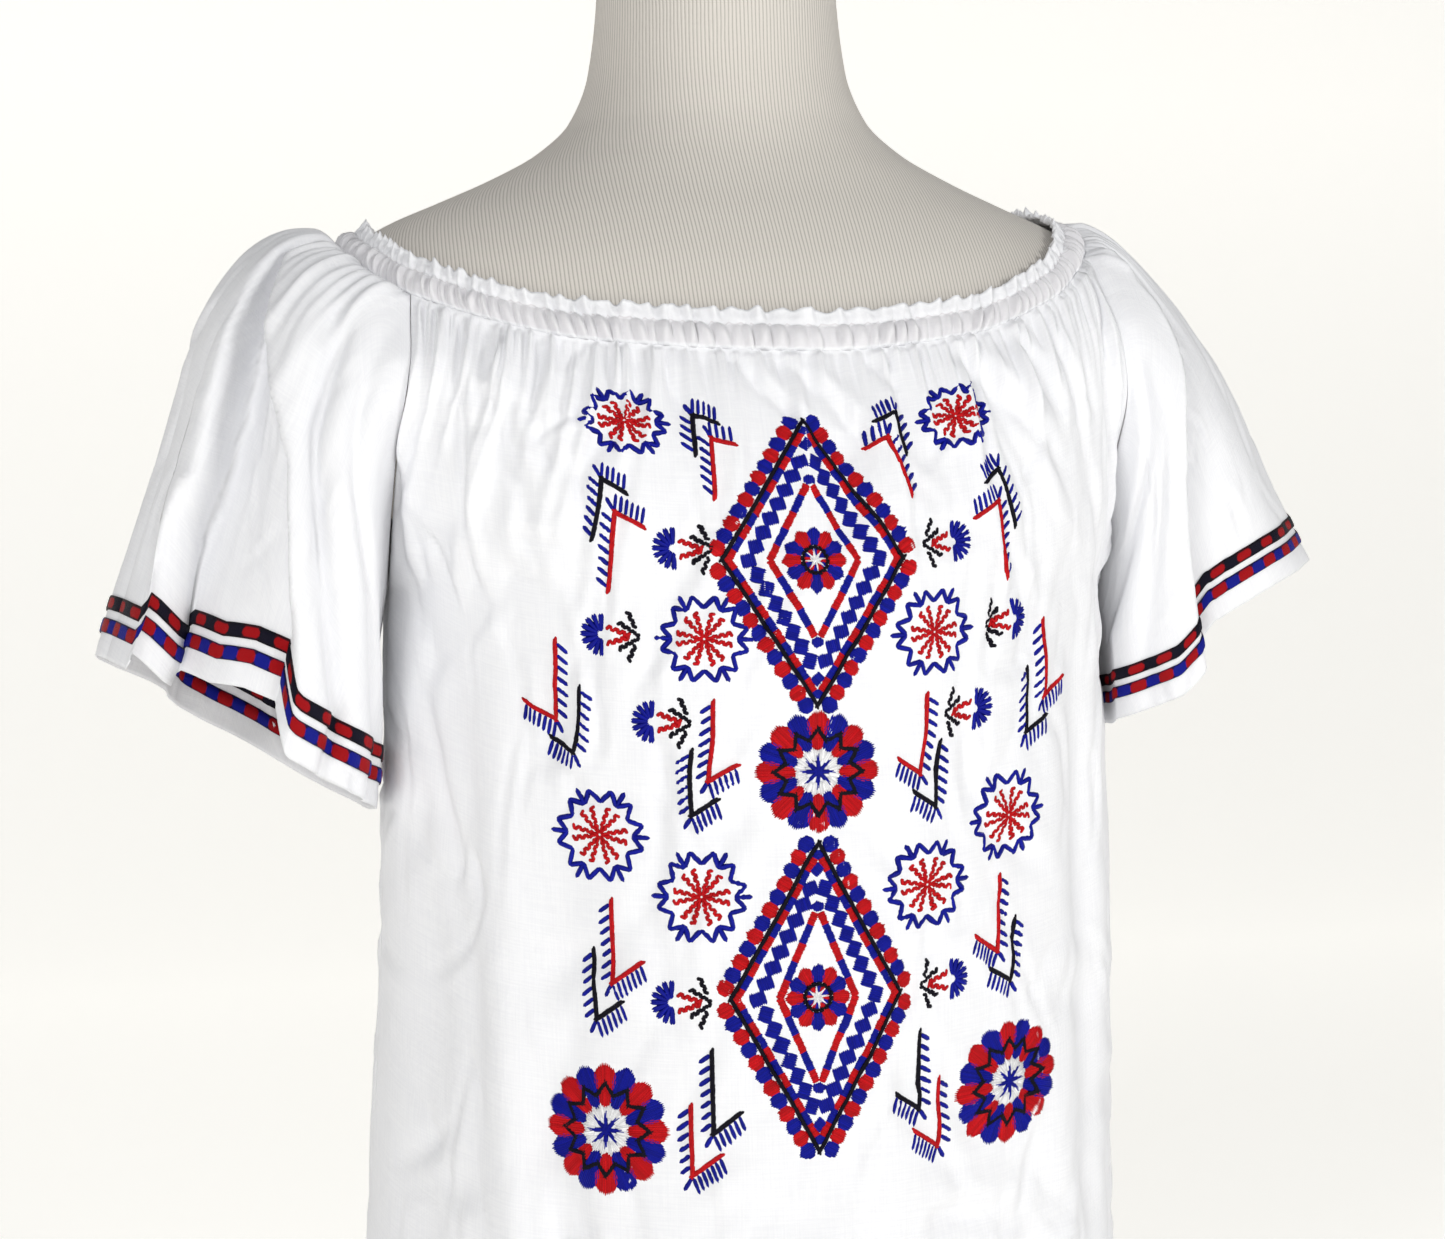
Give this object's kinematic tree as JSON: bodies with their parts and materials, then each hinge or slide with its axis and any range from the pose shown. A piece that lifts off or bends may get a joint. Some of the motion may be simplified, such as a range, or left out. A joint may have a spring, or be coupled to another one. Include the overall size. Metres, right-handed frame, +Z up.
{
  "type": "off-shoulder blouse on a limbless dress form",
  "caption": "Off-shoulder blouse with an elasticated frilled neckline and flared short sleeves with banded hems, worn on a limbless tabletop dress form.",
  "frame": {"origin": "middle of the dress form's flat underside, on the surface it stands on", "axes": "+Z up the body, the front faces -Y, +X on the viewer's right, which is the wearer's left"},
  "size_m": [0.5406, 0.2549, 0.74],
  "materials": {
    "grey_jersey": "fine ribbed jersey stretched over the form",
    "white_cotton": "thin plain-woven cotton lawn",
    "gathered_cotton": "the same cotton gathered on elastic",
    "black_red_thread": "satin-stitched blocks of near-black and red thread",
    "blue_red_thread": "satin-stitched blocks of royal blue and red thread"
  },
  "bodies": {
    "root": {"dress_form": "grey_jersey", "front_panel": "white_cotton", "back_panel": "white_cotton", "sleeve_left": "white_cotton", "sleeve_right": "white_cotton", "neck_casing": "gathered_cotton", "band_upper_left": "black_red_thread", "band_upper_right": "black_red_thread", "band_lower_left": "blue_red_thread", "band_lower_right": "blue_red_thread"}
  },
  "joints": []
}
